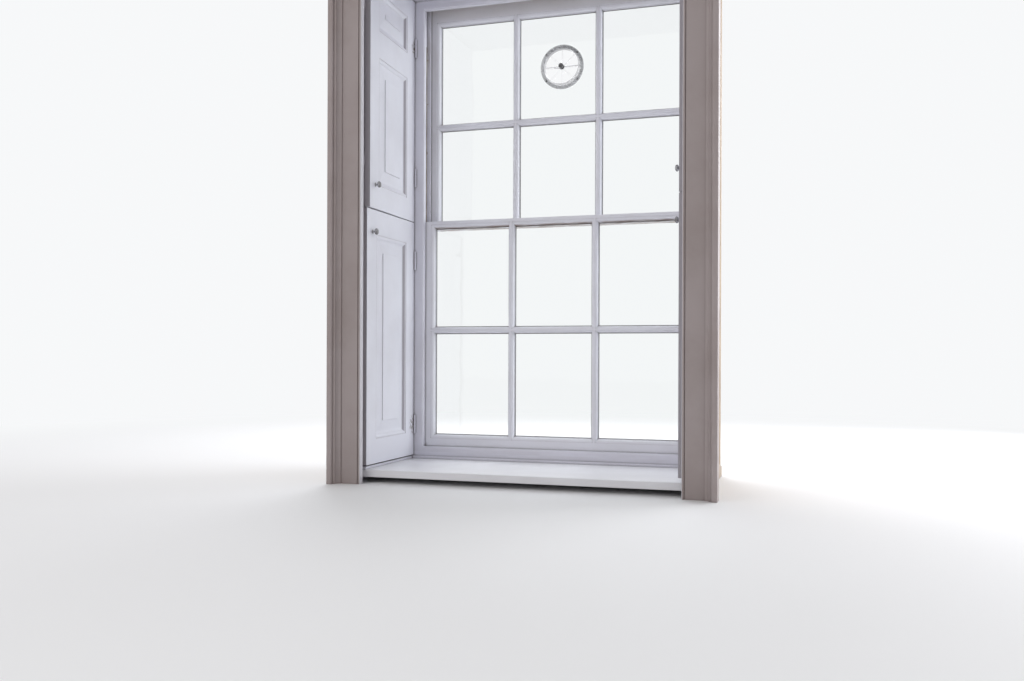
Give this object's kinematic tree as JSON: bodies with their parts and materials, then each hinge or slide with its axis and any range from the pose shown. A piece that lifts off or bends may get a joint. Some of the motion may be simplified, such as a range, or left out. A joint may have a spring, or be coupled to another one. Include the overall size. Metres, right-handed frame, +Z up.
{
  "type": "box sash window with folding shutters",
  "caption": "Vertically sliding box sash window with moulded glazing bars, corded weights, folding panelled shutters, window board and moulded architrave.",
  "frame": {"origin": "middle of the window, halfway between the front of the architrave and the nose of the sill, at the underside of the sill", "axes": "+X to the right seen from the room, +Y from the room to the street, +Z up"},
  "size_m": [1.304, 0.669, 1.9085],
  "materials": {
    "frame_paint": "aged white oil paint, lilac-grey in shade",
    "shutter_paint": "white satin paint",
    "board_paint": "white satin paint, worn at the edge",
    "bare_pine": "unpainted old softwood inside the boxes",
    "window_glass": "old drawn glass",
    "pulley_brass": "dull",
    "weight_iron": "rough casting",
    "pulley_iron": "turned, worn bright in the groove",
    "cord_cotton": "braided cotton sash cord",
    "knob_metal": "tarnished",
    "hinge_iron": "painted over",
    "vent_plastic": "clear, weathered"
  },
  "bodies": {
    "frame": {"sill": "frame_paint", "head_board": "bare_pine", "left_pulley_stile": "frame_paint", "right_pulley_stile": "frame_paint", "left_inner_lining": "frame_paint", "right_inner_lining": "frame_paint", "head_inner_lining": "frame_paint", "left_outer_lining": "frame_paint", "right_outer_lining": "frame_paint", "head_outer_lining": "frame_paint", "back_linings": "bare_pine", "parting_beads": "frame_paint", "parting_slips": "bare_pine", "staff_beads": "frame_paint", "window_board": "board_paint", "boxing_linings": "frame_paint", "soffit_lining": "frame_paint", "left_architrave": "frame_paint", "right_architrave": "frame_paint", "head_architrave": "frame_paint", "pulley_cases": "pulley_brass", "shutter_hinges": "hinge_iron", "lower_sash_cords": "cord_cotton", "lower_sash_weight_cords": "cord_cotton", "upper_sash_cords": "cord_cotton", "upper_sash_weight_cords": "cord_cotton"},
    "lower_sash": {"lower_sash_left_stile": "frame_paint", "lower_sash_right_stile": "frame_paint", "lower_sash_bottom_rail": "frame_paint", "lower_sash_meeting_rail": "frame_paint", "lower_sash_glazing_bars": "frame_paint", "lower_sash_panes": "window_glass"},
    "upper_sash": {"upper_sash_left_stile": "frame_paint", "upper_sash_right_stile": "frame_paint", "upper_sash_top_rail": "frame_paint", "upper_sash_meeting_rail": "frame_paint", "upper_sash_glazing_bars": "frame_paint", "upper_sash_panes": "window_glass", "ventilator_frame": "vent_plastic"},
    "ventilator_rotor": {"ventilator_rotor": "vent_plastic"},
    "lower_sash_left_weight": {"lower_sash_left_weight": "weight_iron"},
    "lower_sash_left_pulley": {"lower_sash_left_pulley": "pulley_iron"},
    "lower_sash_right_weight": {"lower_sash_right_weight": "weight_iron"},
    "lower_sash_right_pulley": {"lower_sash_right_pulley": "pulley_iron"},
    "upper_sash_left_weight": {"upper_sash_left_weight": "weight_iron"},
    "upper_sash_left_pulley": {"upper_sash_left_pulley": "pulley_iron"},
    "upper_sash_right_weight": {"upper_sash_right_weight": "weight_iron"},
    "upper_sash_right_pulley": {"upper_sash_right_pulley": "pulley_iron"},
    "left_lower_leaf": {"left_lower_leaf": "shutter_paint", "left_lower_knob": "knob_metal"},
    "left_lower_flap": {"left_lower_flap": "shutter_paint"},
    "left_upper_leaf": {"left_upper_leaf": "shutter_paint", "left_upper_knob": "knob_metal"},
    "left_upper_flap": {"left_upper_flap": "shutter_paint"},
    "right_lower_leaf": {"right_lower_leaf": "shutter_paint", "right_lower_knob": "knob_metal"},
    "right_lower_flap": {"right_lower_flap": "shutter_paint"},
    "right_upper_leaf": {"right_upper_leaf": "shutter_paint", "right_upper_knob": "knob_metal"},
    "right_upper_flap": {"right_upper_flap": "shutter_paint"}
  },
  "joints": [
    {"name": "lower_sash_slide", "type": "slide", "parent": "frame", "child": "lower_sash", "axis": [0, 0, 1], "range_m": [0, 0.832], "deforming": ["lower_sash_cords", "lower_sash_weight_cords"]},
    {"name": "upper_sash_slide", "type": "slide", "parent": "frame", "child": "upper_sash", "axis": [0, 0, -1], "range_m": [0, 0.832], "deforming": ["upper_sash_cords", "upper_sash_weight_cords"]},
    {"name": "lower_sash_left_weight_slide", "type": "slide", "parent": "frame", "child": "lower_sash_left_weight", "axis": [0, 0, 1], "range_m": [-0.832, 0]},
    {"name": "lower_sash_left_pulley_spin", "type": "hinge", "parent": "frame", "child": "lower_sash_left_pulley", "pos_m": [-0.5375, 0.1955, 1.616], "axis": [0, 1, 0], "range_deg": [0, 1765.57]},
    {"name": "lower_sash_right_weight_slide", "type": "slide", "parent": "frame", "child": "lower_sash_right_weight", "axis": [0, 0, 1], "range_m": [-0.832, 0]},
    {"name": "lower_sash_right_pulley_spin", "type": "hinge", "parent": "frame", "child": "lower_sash_right_pulley", "pos_m": [0.5375, 0.1955, 1.616], "axis": [0, 1, 0], "range_deg": [-1765.57, 0]},
    {"name": "upper_sash_left_weight_slide", "type": "slide", "parent": "frame", "child": "upper_sash_left_weight", "axis": [0, 0, 1], "range_m": [0, 0.832]},
    {"name": "upper_sash_left_pulley_spin", "type": "hinge", "parent": "frame", "child": "upper_sash_left_pulley", "pos_m": [-0.5375, 0.2485, 1.616], "axis": [0, 1, 0], "range_deg": [-1765.57, 0]},
    {"name": "upper_sash_right_weight_slide", "type": "slide", "parent": "frame", "child": "upper_sash_right_weight", "axis": [0, 0, 1], "range_m": [0, 0.832]},
    {"name": "upper_sash_right_pulley_spin", "type": "hinge", "parent": "frame", "child": "upper_sash_right_pulley", "pos_m": [0.5375, 0.2485, 1.616], "axis": [0, 1, 0], "range_deg": [0, 1765.57]},
    {"name": "left_lower_leaf_swing", "type": "hinge", "parent": "frame", "child": "left_lower_leaf", "pos_m": [-0.5355, 0.1495, 0.502], "axis": [0, 0, 1], "range_deg": [0, 90]},
    {"name": "left_lower_flap_fold", "type": "hinge", "parent": "left_lower_leaf", "child": "left_lower_flap", "pos_m": [-0.564, -0.2572, 0.502], "axis": [0, 0, 1], "range_deg": [0, 180]},
    {"name": "left_upper_leaf_swing", "type": "hinge", "parent": "frame", "child": "left_upper_leaf", "pos_m": [-0.5355, 0.1495, 1.369], "axis": [0, 0, 1], "range_deg": [-1.5, 88.5]},
    {"name": "left_upper_flap_fold", "type": "hinge", "parent": "left_upper_leaf", "child": "left_upper_flap", "pos_m": [-0.55334, -0.25781, 1.369], "axis": [0, 0, 1], "range_deg": [-3, 177]},
    {"name": "right_lower_leaf_swing", "type": "hinge", "parent": "frame", "child": "right_lower_leaf", "pos_m": [0.5355, 0.1495, 0.502], "axis": [0, 0, -1], "range_deg": [-2.3, 87.7]},
    {"name": "right_lower_flap_fold", "type": "hinge", "parent": "right_lower_leaf", "child": "right_lower_flap", "pos_m": [0.54766, -0.25802, 0.502], "axis": [0, 0, -1], "range_deg": [-4.6, 175.4]},
    {"name": "right_upper_leaf_swing", "type": "hinge", "parent": "frame", "child": "right_upper_leaf", "pos_m": [0.5355, 0.1495, 1.369], "axis": [0, 0, -1], "range_deg": [-2.3, 87.7]},
    {"name": "right_upper_flap_fold", "type": "hinge", "parent": "right_upper_leaf", "child": "right_upper_flap", "pos_m": [0.54766, -0.25802, 1.369], "axis": [0, 0, -1], "range_deg": [-4.6, 175.4]},
    {"name": "ventilator_spin", "type": "hinge", "parent": "upper_sash", "child": "ventilator_rotor", "pos_m": [0.016, 0.246, 1.523], "axis": [0, 1, 0], "continuous": true}
  ],
  "couplings": [
    {"joint": "lower_sash_left_weight_slide", "follows": "lower_sash_slide", "ratio": -1},
    {"joint": "lower_sash_left_pulley_spin", "follows": "lower_sash_slide", "rad_per_m": 37.037},
    {"joint": "lower_sash_right_weight_slide", "follows": "lower_sash_slide", "ratio": -1},
    {"joint": "lower_sash_right_pulley_spin", "follows": "lower_sash_slide", "rad_per_m": -37.037},
    {"joint": "upper_sash_left_weight_slide", "follows": "upper_sash_slide", "ratio": 1},
    {"joint": "upper_sash_left_pulley_spin", "follows": "upper_sash_slide", "rad_per_m": -37.037},
    {"joint": "upper_sash_right_weight_slide", "follows": "upper_sash_slide", "ratio": 1},
    {"joint": "upper_sash_right_pulley_spin", "follows": "upper_sash_slide", "rad_per_m": 37.037},
    {"joint": "left_lower_flap_fold", "follows": "left_lower_leaf_swing", "ratio": 2},
    {"joint": "left_upper_flap_fold", "follows": "left_upper_leaf_swing", "ratio": 2},
    {"joint": "right_lower_flap_fold", "follows": "right_lower_leaf_swing", "ratio": 2},
    {"joint": "right_upper_flap_fold", "follows": "right_upper_leaf_swing", "ratio": 2}
  ]
}
